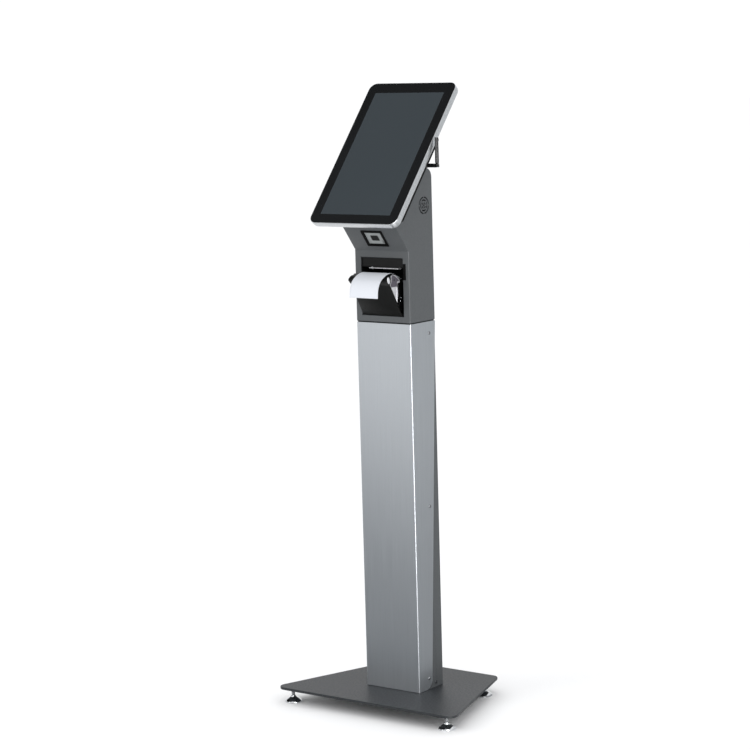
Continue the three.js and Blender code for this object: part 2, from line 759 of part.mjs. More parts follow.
function makePrinterMechanism() {
  const half = CHASSIS.halfWidth - CHASSIS.wall - CLEARANCE;
  const body = outline([
    [-47, 1024.5, 1.5],
    [-4, 1024.5, 4],
    [-4, 1048, 4],
    [-47, 1048, 1.5],
  ]);
  piece("printer_mechanism", prismX(body, -half, half, 3), blackPlastic);
  piece("print_head_bar", prismX(rectangle(-34, 1019.8, -20, 1023.8, 1), -42, 42, 2), steel);
  makeTearBar();
}

// A thin strip whose lower front edge is cut into teeth.
function makeTearBar() {
  const half = 41;
  const pitch = 2;
  const strip = prismX(rectangle(-43, 1021.3, -36.5, 1022.8), -half, half);
  const notches = [];
  for (let x = -half + pitch; x < half; x += pitch) {
    const notch = new THREE.Shape();
    notch.moveTo(x, -41.8);
    notch.lineTo(x - 0.8, -44);
    notch.lineTo(x + 0.8, -44);
    notches.push(prismZ(notch, 1020, 1024));
  }
  piece("tear_bar", cut(strip, ...notches), steel);
}

function makeReleaseButton() {
  const x0 = CHASSIS.halfWidth + CLEARANCE;
  const x1 = LATCH.outerX - CLEARANCE;
  const z0 = LATCH.bottomZ + CLEARANCE;
  const z1 = LATCH.topZ - CLEARANCE;
  const face = outline([
    [COLUMN.frontY - 0.6, z0, 1.2],
    [CHASSIS.frontY + 12, z0],
    [CHASSIS.frontY + 12, z1],
    [COLUMN.frontY - 0.6, z1, 1.2],
  ]);
  piece("cover_release_button", prismX(face, x0, x1, 3), blackPlastic);
}

function makePaperRoll() {
  const { halfWidth, rollRadius, coreRadius, rollY, rollZ } = PAPER;
  const roll = barX(rollRadius, -halfWidth, halfWidth, rollY, rollZ, 48);
  const coreOuter = barX(coreRadius + GAP, -60, 60, rollY, rollZ, 24);
  piece("paper_roll", cut(roll, coreOuter), paper);
  const core = barX(coreRadius, -halfWidth - 0.5, halfWidth + 0.5, rollY, rollZ, 24);
  piece("roll_core", cut(core, barX(SPINDLE_RADIUS + 1, -60, 60, rollY, rollZ, 24)), cardboard);
  const reach = CHASSIS.halfWidth + 1.5;
  piece("roll_spindle", barX(SPINDLE_RADIUS, -reach, reach, rollY, rollZ, 24), greyPlastic);
}

// ---------------------------------------------------------------- receipt printer, open cover

function fromHinge(points) {
  return points.map(([y, z, radius = 0]) => [HINGE.y + y, HINGE.z + z, radius]);
}

// The cover's front wall with its solid nose, and the narrower hood that runs back from the nose.
function makePrinterCover() {
  const front = [
    [-4, 0],
    [-46.5, 71, 12],
    [-57.5, 81.5, 3],
    [-47.5, 89, 14],
  ];
  const inside = [
    [-39.5, 79],
    [-44, 72.5, 3],
    [-1.3, 1.2],
  ];
  const hoodTop = [-33.5, 93, 30];
  const noseBack = [-40.5, 91];
  const hood = [hoodTop, [-20.5, 94], [-20.5, 91.2], [-33, 90.3, 20], [-39.5, 88.4]];
  const wallOutline = outline(fromHinge([...front, noseBack, ...inside]).reverse());
  const hoodOutline = outline(fromHinge([...front, ...hood, ...inside]).reverse());
  const { leftX, rightX, hoodInset } = PRINTER_COVER;
  const knuckle = barX(HINGE.knuckleRadius, leftX, rightX, HINGE.y, HINGE.z, 24);
  const body = join(
    prismX(wallOutline, leftX, rightX, 3),
    prismX(hoodOutline, leftX + hoodInset, rightX - hoodInset, 3),
    knuckle,
  );
  const pinBore = barX(HINGE.pinRadius + GAP, -70, 70, HINGE.y, HINGE.z, 16);
  const strikerBore = barX(STRIKER.radius + GAP, -70, 70, HINGE.y + STRIKER.y, HINGE.z + STRIKER.z, 24);
  const platenSlot = box(
    -PLATEN.halfLength - 2,
    HINGE.y + PLATEN.y - 5.5,
    HINGE.z + PLATEN.z,
    PLATEN.halfLength + 2,
    HINGE.y + PLATEN.y + 5.5,
    HINGE.z + 100,
  );
  piece("printer_cover", cut(body, pinBore, strikerBore, platenSlot), blackPlastic);
  const pinReach = BAY.halfWidth - 0.1;
  const pin = barX(HINGE.pinRadius, -pinReach, pinReach, HINGE.y, HINGE.z, 16);
  piece("cover_hinge_pin", pin, steel);
  const [strikerY, strikerZ] = [HINGE.y + STRIKER.y, HINGE.z + STRIKER.z];
  const striker = barX(STRIKER.radius, leftX - CLEARANCE, rightX + 0.8, strikerY, strikerZ, 24);
  const leaf = new THREE.Shape();
  leaf.absellipse(strikerY - 0.8, strikerZ + 0.8, ...STRIKER.capRadii, 0, 2 * Math.PI, false, STRIKER.capLean);
  const cap = prismX(leaf, rightX + GAP, rightX + 1.5, 16);
  piece("cover_striker_pin", join(striker, cap), steel);
}

// The steel plate at each end of the cover that carries the platen roller.
function makeCoverSidePlates() {
  const profile = outline(
    fromHinge([
      [-16.9, 29.5],
      [-14.2, 42, 6],
      [-13.6, 56, 6],
      [-15.5, 67, 4],
      [-14.5, 74],
      [-5, 74.5, 1.5],
      [-6, 81, 4],
      [-22.5, 92.3, 14],
      [-38.6, 95.5, 6],
      [-38.6, 78.8],
      [-42.6, 72.2],
    ]),
  );
  const { leftX, rightX, hoodInset } = PRINTER_COVER;
  const [shaftY, shaftZ] = [HINGE.y + PLATEN.y, HINGE.z + PLATEN.z];
  const bore = barX(PLATEN.shaftRadius + CLEARANCE, -70, 70, shaftY, shaftZ, 16);
  const plate = (x0, x1) => cut(prismX(profile, x0, x1, 2), bore);
  piece("cover_side_plate_left", plate(leftX + 0.8, leftX + hoodInset - GAP), steel);
  piece("cover_side_plate_right", plate(rightX - hoodInset + GAP, rightX - 0.8), steel);
}

function makePlaten() {
  const y = HINGE.y + PLATEN.y;
  const z = HINGE.z + PLATEN.z;
  const sleeve = barX(PLATEN.radius, -PLATEN.halfLength, PLATEN.halfLength, y, z, 32);
  const shaft = barX(PLATEN.shaftRadius, PRINTER_COVER.leftX, PRINTER_COVER.rightX, y, z, 16);
  piece("platen_roller", join(sleeve, shaft), rubber);
  const gearX = -PLATEN.halfLength - 11;
  const teeth = 18;
  const gear = new THREE.Shape();
  for (let tooth = 0; tooth < teeth; tooth++) {
    const angle = (tooth / teeth) * 2 * Math.PI;
    const step = (2 * Math.PI) / teeth;
    for (const [turn, radius] of [[0, 5.6], [0.28, 5.6], [0.42, 6.9], [0.82, 6.9]]) {
      const at = angle + turn * step;
      const [px, py] = [y + radius * Math.cos(at), z + radius * Math.sin(at)];
      if (tooth === 0 && turn === 0) gear.moveTo(px, py);
      else gear.lineTo(px, py);
    }
  }
  const bore = barX(PLATEN.shaftRadius + 0.1, -70, 0, y, z, 16);
  piece("platen_gear", cut(prismX(gear, gearX, gearX + 5), bore), greyPlastic);
}

// The strip of paper that lies over the hood and hangs down in front of the cover.
function makePaperWeb() {
  const spine = new THREE.SplineCurve(
    [
      [-17.5, 95.4],
      [-31.5, 95.2],
      [-40, 93.3],
      [-48.5, 90],
      [-61.5, 82.2],
      [-69.5, 72],
      [-74, 59],
      [-75.1, 43.5],
    ].map(([y, z]) => new THREE.Vector2(HINGE.y + y, HINGE.z + z)),
  );
  const steps = 18;
  const edge = (side) =>
    Array.from({ length: steps + 1 }, (_, i) => {
      const point = spine.getPoint(i / steps);
      const along = spine.getTangent(i / steps);
      const reach = (side * PAPER.thickness) / 2;
      return new THREE.Vector2(point.x - along.y * reach, point.y + along.x * reach);
    });
  const ribbon = new THREE.Shape([...edge(1), ...edge(-1).reverse()]);
  piece("paper_web", prismX(ribbon, -PAPER.halfWidth, PAPER.halfWidth), paper);
}

// ---------------------------------------------------------------- display and computer

// A rounded plate in the display's frame, between two depths behind the front of the glass.
function displayPlate(halfWidth, bottom, top, depth0, depth1, radius, segments = 5) {
  return prismZ(rectangle(-halfWidth, bottom, halfWidth, top, radius), -depth1, -depth0, segments);
}

function makeDisplay() {
  const { width, height, cornerRadius, glass, backPlate } = DISPLAY;
  const { frameLip, frameFront, frameBack, frameOverhang, frameWall } = DISPLAY;
  const half = width / 2;
  piece("display_glass", displayPlate(half, 0, height, 0, glass, cornerRadius, 5), coverGlass, display);

  const outerHalf = half + frameOverhang;
  const innerHalf = half - frameWall;
  const innerRadius = cornerRadius - frameWall;
  const softened = (shrink, depth0, depth1) =>
    displayPlate(
      outerHalf - shrink,
      shrink - frameOverhang,
      height + frameOverhang - shrink,
      depth0,
      depth1,
      cornerRadius + frameOverhang - shrink,
      4,
    );
  const band = join(
    softened(0.3, frameLip, frameFront + 2),
    softened(0, frameLip + 0.5, frameBack - 3.6),
    softened(0.7, frameFront, frameBack),
  );
  const seat = displayPlate(half + 0.1, -0.1, height + 0.1, -5, frameFront, cornerRadius + 0.1, 5);
  const inside = displayPlate(innerHalf, frameWall, height - frameWall, 0, 30, innerRadius, 2);
  piece("display_frame", cut(band, seat, inside), anodisedSilver, display);

  const lcdHalf = ACTIVE.width / 2 + ACTIVE.border;
  const lcdBottom = ACTIVE.bottom - ACTIVE.border;
  const lcdTop = ACTIVE.bottom + ACTIVE.height + ACTIVE.border;
  const lcdBack = frameBack - backPlate - GAP;
  const lcd = displayPlate(lcdHalf, lcdBottom, lcdTop, glass + GAP, lcdBack, 1, 2);
  piece("lcd_panel", lcd, screenFace, display);

  const rear = displayPlate(
    innerHalf - GAP,
    frameWall + GAP,
    height - frameWall - GAP,
    frameBack - backPlate,
    frameBack,
    innerRadius - GAP,
    4,
  );
  const cableHole = displayPlate(40, 90, 130, 0, 30, 4, 2);
  piece("display_rear_cover", cut(rear, cableHole), blackMetal, display);
}

function makeComputerHousing() {
  const { halfWidth, bottom, top, back, wall, cornerRadius } = HOUSING;
  const front = DISPLAY.frameBack + GAP;
  const outer = displayPlate(halfWidth, bottom, top, front, back, cornerRadius, 4);
  const inner = displayPlate(
    halfWidth - wall,
    bottom + wall,
    top - wall,
    front - 5,
    back - wall,
    cornerRadius - wall,
    4,
  );
  const vents = [];
  for (let row = 0; row < 7; row++) {
    const up = top - 16 - row * 8;
    for (const side of [-1, 1])
      vents.push(box(side * 42 - 26, up - 1.6, -back - 2, side * 42 + 26, up + 1.6, wall - back + 2));
  }
  const aerialHole = barX(3.5, halfWidth - 6, halfWidth + 4, AERIAL.up, -AERIAL.depth, 16);
  const buttonHole = barX(
    POWER_BUTTON.radius + CLEARANCE,
    -halfWidth - 4,
    6 - halfWidth,
    POWER_BUTTON.up,
    -POWER_BUTTON.depth,
    20,
  );
  piece("computer_housing", cut(outer, inner, ...vents, aerialHole, buttonHole), blackMetal, display);

  const board = displayPlate(80, 60, 240, 33, 34.6, 3, 2);
  const heatSink = displayPlate(35, 110, 190, 34, 48, 1, 1);
  piece("mainboard", join(board, heatSink), circuitBoard, display);

  const { halfWidth: plateHalf, bottom: plateBottom, top: plateTop, thickness } = MOUNT_PLATE;
  const behind = back + GAP;
  const mount = displayPlate(plateHalf, plateBottom, plateTop, behind, behind + thickness, 4, 3);
  piece("display_mount_plate", mount, powderCoat, display);

  const button = barX(
    POWER_BUTTON.radius,
    -halfWidth - POWER_BUTTON.stands,
    5 - halfWidth,
    POWER_BUTTON.up,
    -POWER_BUTTON.depth,
    24,
  );
  piece("power_button", button, steel, display);
}

// The aerial's base runs out of the housing's side to an elbow, and the rod stands up from the elbow.
function makeAerial() {
  const [y, z] = behindGlass(AERIAL.up, AERIAL.depth);
  const { x, radius, rodLength } = AERIAL;
  const start = HOUSING.halfWidth + GAP;
  const threaded = barX(3, start - 5, start + 3, y, z, 16);
  const collar = barX(radius + 0.8, start, start + 9, y, z, 24);
  const barrel = barX(radius, start + 8, x - radius - GAP, y, z, 24);
  const cheek = (middleY) => box(x - radius - 1, middleY - 1.1, z - 4, x + 3, middleY + 1.1, z + 4);
  const base = join(threaded, collar, barrel, cheek(y - 3.4), cheek(y + 3.4));
  piece("aerial_base", base, blackPlastic);
  const web = box(x - 3.4, y - 1.9, z, x + 3.4, y + 1.9, z + 6.5);
  const eye = join(barY(4, y - 1.9, y + 1.9, x, z, 20), web);
  const rod = turnedZ(
    [
      [0, 6],
      [radius, 6],
      [radius - 0.4, rodLength - 3],
      [radius - 0.1, rodLength - 2.6],
      [radius - 0.1, rodLength - 0.8],
      [radius - 1, rodLength],
      [0, rodLength],
    ],
    24,
  ).translate(x, y, z);
  piece("aerial_rod", join(rod, eye), blackPlastic);
}

// ---------------------------------------------------------------- the kiosk

makeBasePlate();
for (const [place, at] of Object.entries(FEET)) makeFoot(place, at);
makeColumnChannel();
makeColumnFrontCover();
makeColumnScrews();
makeColumnFootFlange();
makePowerInlet();
makePowerSupply();
makeHeadJointPlate();
makeHeadShell();
makeSpeaker("speaker_left", -1);
makeSpeaker("speaker_right", 1);
makeRearDoor();
makeRearDoorPin();
makeDoorLock();
makeScanner();
makePrinterChassis();
makePrinterMechanism();
makeReleaseButton();
makePaperRoll();
makePrinterCover();
makeCoverSidePlates();
makePlaten();
makePaperWeb();
makeDisplay();
makeComputerHousing();
makeAerial();

export default kiosk;
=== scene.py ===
"""The looks of a floor-standing touchscreen kiosk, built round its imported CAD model.

Metres, +Z up, the kiosk faces -Y. Places come from the CAD nodes' boxes. The order is: camera and
studio, materials, helpers, fine copies of the CAD nodes, then the pieces made here, part by part. A
piece that stands for one CAD node has the node's name and _skin.
"""

import json
import math

import bmesh
import bpy
from mathutils import Matrix, Vector

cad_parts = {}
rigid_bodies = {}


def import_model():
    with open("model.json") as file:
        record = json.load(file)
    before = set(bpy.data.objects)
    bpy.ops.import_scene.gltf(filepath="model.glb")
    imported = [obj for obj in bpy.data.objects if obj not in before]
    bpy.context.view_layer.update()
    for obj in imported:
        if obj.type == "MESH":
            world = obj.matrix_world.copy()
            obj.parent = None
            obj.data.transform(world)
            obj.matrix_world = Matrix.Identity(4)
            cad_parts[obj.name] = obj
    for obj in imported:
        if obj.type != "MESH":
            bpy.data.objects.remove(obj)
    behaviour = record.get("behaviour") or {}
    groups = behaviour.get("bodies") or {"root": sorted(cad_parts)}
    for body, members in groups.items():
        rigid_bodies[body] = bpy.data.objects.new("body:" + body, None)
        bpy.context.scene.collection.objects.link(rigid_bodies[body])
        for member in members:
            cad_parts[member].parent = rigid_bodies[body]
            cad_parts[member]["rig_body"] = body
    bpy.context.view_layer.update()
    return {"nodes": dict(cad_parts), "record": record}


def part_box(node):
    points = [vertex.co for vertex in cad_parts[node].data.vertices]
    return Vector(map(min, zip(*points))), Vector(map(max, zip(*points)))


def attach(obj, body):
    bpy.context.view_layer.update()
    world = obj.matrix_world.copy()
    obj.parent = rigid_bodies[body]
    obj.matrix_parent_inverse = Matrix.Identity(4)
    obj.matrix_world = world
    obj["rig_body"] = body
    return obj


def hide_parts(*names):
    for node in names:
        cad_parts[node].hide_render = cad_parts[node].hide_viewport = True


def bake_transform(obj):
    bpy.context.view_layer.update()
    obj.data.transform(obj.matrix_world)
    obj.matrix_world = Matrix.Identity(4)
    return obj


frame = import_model()
MM = 0.001


# ---------------------------------------------------------------- camera and studio

CAMERA_PLACE = (3.2016, -4.3767, 1.5244)
CAMERA_YAW, CAMERA_PITCH, CAMERA_ROLL = 36.737, 7.893, -1.573  # degrees
CAMERA_LENS, CAMERA_SENSOR, CAMERA_REACH = 113.9, 36.0, 60.0  # millimetres, and metres
FLOOR_REACH = 60.0
CARD_LIFT = 0.004


def make_camera():
    yaw, pitch, roll = (math.radians(v) for v in (CAMERA_YAW, CAMERA_PITCH, CAMERA_ROLL))
    ahead = math.cos(pitch)
    forward = Vector((-math.sin(yaw) * ahead, math.cos(yaw) * ahead, -math.sin(pitch)))
    level = Vector((math.cos(yaw), math.sin(yaw), 0))
    upright = level.cross(forward)
    right = math.cos(roll) * level + math.sin(roll) * upright
    up = -math.sin(roll) * level + math.cos(roll) * upright
    data = bpy.data.cameras.new("camera")
    data.lens, data.sensor_width, data.clip_end = CAMERA_LENS, CAMERA_SENSOR, CAMERA_REACH
    camera = bpy.data.objects.new("camera", data)
    turn = Matrix((right, up, -forward)).transposed().to_4x4()
    camera.matrix_world = Matrix.Translation(CAMERA_PLACE) @ turn
    bpy.context.scene.collection.objects.link(camera)
    bpy.context.scene.camera = camera


def linear(code):
    """The linear colour of a hex code such as #5f6264."""
    values = [int(code[i : i + 2], 16) / 255 for i in (1, 3, 5)]
    return tuple(v / 12.92 if v <= 0.04045 else ((v + 0.055) / 1.055) ** 2.4 for v in values)


def area_light(name, place, target, size, power):
    data = bpy.data.lights.new(name, "AREA")
    data.shape, data.size, data.size_y = "RECTANGLE", size, size
    data.energy = power
    light = bpy.data.objects.new(name, data)
    light.location = place
    aim = Vector(target) - Vector(place)
    light.rotation_euler = aim.to_track_quat("-Z", "Y").to_euler()
    bpy.context.scene.collection.objects.link(light)


def rectangle(x, y):
    """The corners of a flat rectangle, from half its width and half its depth."""
    return [(-x, -y, 0), (x, -y, 0), (x, y, 0), (-x, y, 0)]


def card(name, centre, size, aim, code, glow=0.0):
    """A flat studio card, dark or glowing, that only reflections see."""
    mesh = bpy.data.meshes.new(name)
    mesh.from_pydata(rectangle(size[0] / 2, size[1] / 2), [], [(0, 1, 2, 3)])
    board = bpy.data.objects.new(name, mesh)
    board.location = centre
    facing = Vector(aim) - Vector(centre)
    board.rotation_euler = facing.to_track_quat("Z", "Y").to_euler()
    bpy.context.scene.collection.objects.link(board)
    color = (*linear(code), 1)
    Recipe(name, code, 0.9, Specular_IOR_Level=0.0, Emission_Color=color, Emission_Strength=glow)
    mesh.materials.append(MATERIALS[name])
    board.visible_camera = board.visible_diffuse = False
    board.visible_shadow = board.visible_transmission = False


def floor_card(name, x, y, size, code, glow=0.0):
    card(name, (x, y, CARD_LIFT), size, (x, y, 5.0), code, glow)


def make_studio():
    world = bpy.data.worlds.new("studio")
    world.use_nodes = True
    background = world.node_tree.nodes["Background"]
    background.inputs["Color"].default_value = (0.985, 0.99, 1.0, 1)
    background.inputs["Strength"].default_value = 1.05
    bpy.context.scene.world = world
    bpy.context.scene.view_settings.view_transform = "Standard"

    mesh = bpy.data.meshes.new("floor")
    mesh.from_pydata(rectangle(FLOOR_REACH, FLOOR_REACH), [], [(0, 1, 2, 3)])
    floor = bpy.data.objects.new("floor", mesh)
    bpy.context.scene.collection.objects.link(floor)
    mesh.materials.append(MATERIALS["floor"])

    area_light("key", (-2.4, -3.6, 3.0), (0, 0, 0.9), 2.0, 28)
    area_light("fill", (4.2, -1.4, 2.4), (0, 0, 0.9), 2.0, 12)
    card("dark_ceiling", (-2.2, -0.6, 3.6), (5.0, 5.0), (0, 0, 1.2), "#101011")
    floor_card("dark_floor", -1.15, -1.32, (2.7, 2.2), "#74787b")
    floor_card("far_glow", -5.2, -7.0, (6.0, 5.6), "#ffffff", 1.15)
    card("bend_strip", (0.95, -0.72, 0.9), (0.5, 1.78), (0, -0.05, 0.9), "#ffffff", 10.0)
    card("side_wall", (2.05, 2.75, 1.1), (5.0, 2.6), (0, 0, 1.1), "#cfd1d2")
    floor_card("side_floor", 1.05, 1.3, (1.8, 2.4), "#a4a6a7")


# ---------------------------------------------------------------- materials


class Recipe:
    """A Principled material with helpers that add procedural detail to it."""

    def __init__(self, name, code, roughness, metallic=0.0, **sockets):
        material = bpy.data.materials.new(name)
        material.use_nodes = True
        self.nodes = material.node_tree.nodes
        self.links = material.node_tree.links
        self.shader = self.nodes["Principled BSDF"]
        self.color = linear(code)
        self.set("Base Color", (*self.color, 1))
        self.set("Roughness", roughness)
        self.set("Metallic", metallic)
        for socket, value in sockets.items():
            self.set(socket.replace("_", " "), value)
        self.place = self.nodes.new("ShaderNodeTexCoord")
        self.height = None
        MATERIALS[name] = material

    def set(self, socket, value):
        self.shader.inputs[socket].default_value = value

    def noise(self, scale, detail=3.0, roughness=0.5, stretch=(1, 1, 1)):
        mapping = self.nodes.new("ShaderNodeMapping")
        mapping.inputs["Scale"].default_value = stretch
        texture = self.nodes.new("ShaderNodeTexNoise")
        texture.inputs["Scale"].default_value = scale
        texture.inputs["Detail"].default_value = detail
        texture.inputs["Roughness"].default_value = roughness
        self.links.new(self.place.outputs["Object"], mapping.inputs["Vector"])
        self.links.new(mapping.outputs["Vector"], texture.inputs["Vector"])
        return texture.outputs["Fac"]

    def tone(self, factor, darker, lighter, low=0.3, high=0.7):
        """Varies the base colour between two multiples of it, by a 0 to 1 pattern."""
        ramp = self.nodes.new("ShaderNodeValToRGB")
        first, last = ramp.color_ramp.elements
        first.position, last.position = low, high
        first.color = (*(min(1, c * darker) for c in self.color), 1)
        last.color = (*(min(1, c * lighter) for c in self.color), 1)
        self.links.new(factor, ramp.inputs["Fac"])
        self.links.new(ramp.outputs["Color"], self.shader.inputs["Base Color"])

    def gloss(self, factor, smooth, rough):
        """Varies the roughness between two values, by a 0 to 1 pattern."""
        spread = self.nodes.new("ShaderNodeMapRange")
        spread.inputs["From Min"].default_value = 0.3
        spread.inputs["From Max"].default_value = 0.7
        spread.inputs["To Min"].default_value = smooth
        spread.inputs["To Max"].default_value = rough
        self.links.new(factor, spread.inputs["Value"])
        self.links.new(spread.outputs["Result"], self.shader.inputs["Roughness"])

    def bump(self, factor, strength, depth):
        """Adds a height pattern; a second call lies on top of the first."""
        node = self.nodes.new("ShaderNodeBump")
        node.inputs["Strength"].default_value = strength
        node.inputs["Distance"].default_value = depth
        self.links.new(factor, node.inputs["Height"])
        if self.height:
            self.links.new(self.height, node.inputs["Normal"])
        self.height = node.outputs["Normal"]
        self.links.new(self.height, self.shader.inputs["Normal"])


MATERIALS = {}
BRUSH_SCALE = 600  # lines per metre across the grain, before the stretch along it


def powder_coat(name, code, roughness):
    coat = Recipe(name, code, roughness, Specular_IOR_Level=0.35)
    coat.tone(coat.noise(900, 4), 0.9, 1.1)
    coat.gloss(coat.noise(240, 3), roughness - 0.06, roughness + 0.08)
    coat.bump(coat.noise(1500, 2), 0.35, 0.00012)
    coat.bump(coat.noise(160, 2), 0.12, 0.0003)


def brushed(name, code, roughness, metallic, stretch, tone=0.05):
    metal = Recipe(name, code, roughness, metallic)
    lines = metal.noise(BRUSH_SCALE, 4, 0.6, stretch)
    metal.tone(lines, 1 - tone, 1 + tone)
    metal.gloss(lines, roughness - 0.05, roughness + 0.06)
    metal.bump(lines, 0.12, 0.00006)
    metal.bump(metal.noise(14, 2), 0.05, 0.0008)


def moulded(name, code, roughness, grain=1300, strength=0.3, specular=0.25):
    plastic = Recipe(name, code, roughness, Specular_IOR_Level=specular)
    plastic.tone(plastic.noise(60, 3), 0.92, 1.1)
    plastic.gloss(plastic.noise(180, 2), roughness - 0.06, roughness + 0.07)
    plastic.bump(plastic.noise(grain, 2), strength, 0.00006)


def make_materials():
    powder_coat("powder_coat", "#525557", 0.5)
    powder_coat("powder_coat_base", "#2d3033", 0.46)
    powder_coat("powder_coat_dark", "#3c3f41", 0.45)
    brushed("brushed_silver", "#adb1b5", 0.34, 0.85, (1, 1, 0.012))
    brushed("anodised_silver", "#c8cacc", 0.28, 0.85, (0.03, 1, 1), 0.03)
    brushed("steel", "#b4b4b6", 0.28, 1.0, (0.05, 1, 1))
    brushed("bright_steel", "#e2e2e5", 0.38, 0.5, (1, 0.1, 1))
    brushed("screw_steel", "#77797b", 0.35, 0.9, (1, 1, 1))
    brushed("dark_steel", "#3a3c3e", 0.32, 0.8, (1, 1, 0.1))

    chrome = Recipe("chrome", "#d3d5d7", 0.07, 1.0)
    chrome.gloss(chrome.noise(90, 3), 0.04, 0.13)
    chrome.tone(chrome.noise(40, 2), 0.95, 1.02)

    moulded("black_plastic", "#0e0e0d", 0.42, specular=0.2)
    moulded("grey_plastic", "#6b6b70", 0.5)
    # painted shade: the dark grey of the sheet over the upper half of the printer cover's side
    # plate
    moulded("painted_shade_grey", "#5a565e", 0.45)
    moulded("satin_black", "#0a0b0c", 0.4, 1600, 0.2, 0.15)
    moulded("gloss_black", "#101112", 0.26, 1600, 0.1, 0.5)
    moulded("matt_black", "#050505", 0.6, 1200, 0.2, 0.08)
    moulded("black_metal", "#0a0b0c", 0.45, 900, 0.2, 0.12)

    diffuser = Recipe("pale_diffuser", "#919595", 0.4, Specular_IOR_Level=0.3)
    diffuser.tone(diffuser.noise(70, 2), 0.9, 1.06)
    diffuser.bump(diffuser.noise(700, 1), 0.1, 0.00005)

    glass = Recipe("cover_glass", "#1c1d1e", 0.06, Specular_IOR_Level=0.4)
    glass.gloss(glass.noise(5, 3), 0.05, 0.09)
    glass.tone(glass.noise(3, 2), 0.85, 1.15)

    screen = Recipe("screen", "#3d4347", 0.12, Specular_IOR_Level=0.4)
    screen.tone(screen.noise(2.2, 1), 0.93, 1.06)
    screen.gloss(screen.noise(6, 3), 0.1, 0.16)

    rubber = Recipe("rubber", "#232325", 0.75)
    rubber.tone(rubber.noise(300, 3), 0.85, 1.15)
    rubber.bump(rubber.noise(1400, 3), 0.3, 0.0001)

    paper = Recipe("paper", "#e0e3e9", 0.8, Specular_IOR_Level=0.2)
    paper.tone(paper.noise(500, 5, 0.7), 0.975, 1.01)
    paper.bump(paper.noise(900, 4, 0.7), 0.12, 0.00004)

    wound = Recipe("wound_paper", "#e6e7ea", 0.85)
    rings = wound.nodes.new("ShaderNodeTexWave")
    rings.wave_type, rings.rings_direction = "RINGS", "X"
    rings.inputs["Scale"].default_value = 420
    rings.inputs["Distortion"].default_value = 0.6
    centre = wound.nodes.new("ShaderNodeVectorMath")
    centre.operation = "SUBTRACT"
    centre.inputs[1].default_value = middle_of("paper_roll")
    wound.links.new(wound.place.outputs["Object"], centre.inputs[0])
    wound.links.new(centre.outputs["Vector"], rings.inputs["Vector"])
    wound.tone(rings.outputs["Fac"], 0.9, 1.02, 0.1, 0.9)
    wound.bump(rings.outputs["Fac"], 0.2, 0.0001)

    cardboard = Recipe("cardboard", "#a98d66", 0.9)
    cardboard.tone(cardboard.noise(400, 4, 0.6, (0.2, 1, 1)), 0.85, 1.1)
    cardboard.bump(cardboard.noise(800, 3), 0.3, 0.0001)

    board = Recipe("circuit_board", "#1f4530", 0.4)
    cells = board.nodes.new("ShaderNodeTexBrick")
    cells.inputs["Scale"].default_value = 160
    cells.inputs["Mortar Size"].default_value = 0.06
    board.links.new(board.place.outputs["Object"], cells.inputs["Vector"])
    board.tone(cells.outputs["Fac"], 0.8, 1.5, 0.2, 0.8)
    board.bump(cells.outputs["Fac"], 0.3, 0.0001)

    mesh = Recipe("speaker_mesh", "#0b0b0c", 0.6, Specular_IOR_Level=0.2)
    weave = mesh.nodes.new("ShaderNodeTexVoronoi")
    weave.inputs["Scale"].default_value = 900
    weave.inputs["Randomness"].default_value = 0.0
    mesh.links.new(mesh.place.outputs["Object"], weave.inputs["Vector"])
    mesh.tone(weave.outputs["Distance"], 0.3, 1.8, 0.1, 0.6)
    mesh.bump(weave.outputs["Distance"], 0.6, 0.0003)

    floor = Recipe("floor", "#ffffff", 0.8, Specular_IOR_Level=0.1)
    floor.tone(floor.noise(1.5, 2), 0.99, 1.01)


def middle_of(node):
    low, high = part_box(node)
    return (low + high) / 2


# ---------------------------------------------------------------- making pieces

FLAT_ANGLE = 0.4  # degrees: faces that meet at less than this are one flat face
SAME_PLACE = 3e-6


def settle(name, mesh, material, body, slot, *replaced, sharp=35):
    """Puts a finished mesh in the scene as a piece."""
    for polygon in mesh.polygons:
        polygon.use_smooth = True
    mesh.set_sharp_from_angle(angle=math.radians(sharp))
    piece = bpy.data.objects.new(name, mesh)
    bpy.context.scene.collection.objects.link(piece)
    mesh.materials.append(MATERIALS[material])
    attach(piece, body)
    if replaced:
        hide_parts(*replaced)
    return piece


def mesh_of(name, bm):
    bmesh.ops.recalc_face_normals(bm, faces=bm.faces)
    mesh = bpy.data.meshes.new(name)
    bm.to_mesh(mesh)
    bm.free()
    return mesh


def join_rings(bm, rings):
    """Quads between each ring of vertices and the next."""
    count = len(rings[0])
    for lower, upper in zip(rings, rings[1:]):
        for i in range(count):
            j = (i + 1) % count
            bm.faces.new((lower[i], lower[j], upper[j], upper[i]))


def body_of(node):
    return frame["nodes"][node]["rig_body"]


def slot_of(node):
    for part in frame["record"]["subparts"]:
        if part["node"] == node:
            return part["material_slot"]


def round_edges(piece, width, segments=2, angle=30, weighted=False):
    bevel = piece.modifiers.new("edges", "BEVEL")
    bevel.width, bevel.segments = width * MM, segments
    bevel.limit_method = "WEIGHT" if weighted else "ANGLE"
    bevel.angle_limit = math.radians(angle)
    bevel.use_clamp_overlap = False
    bevel.harden_normals = True
    bevel.miter_outer = "MITER_SHARP"


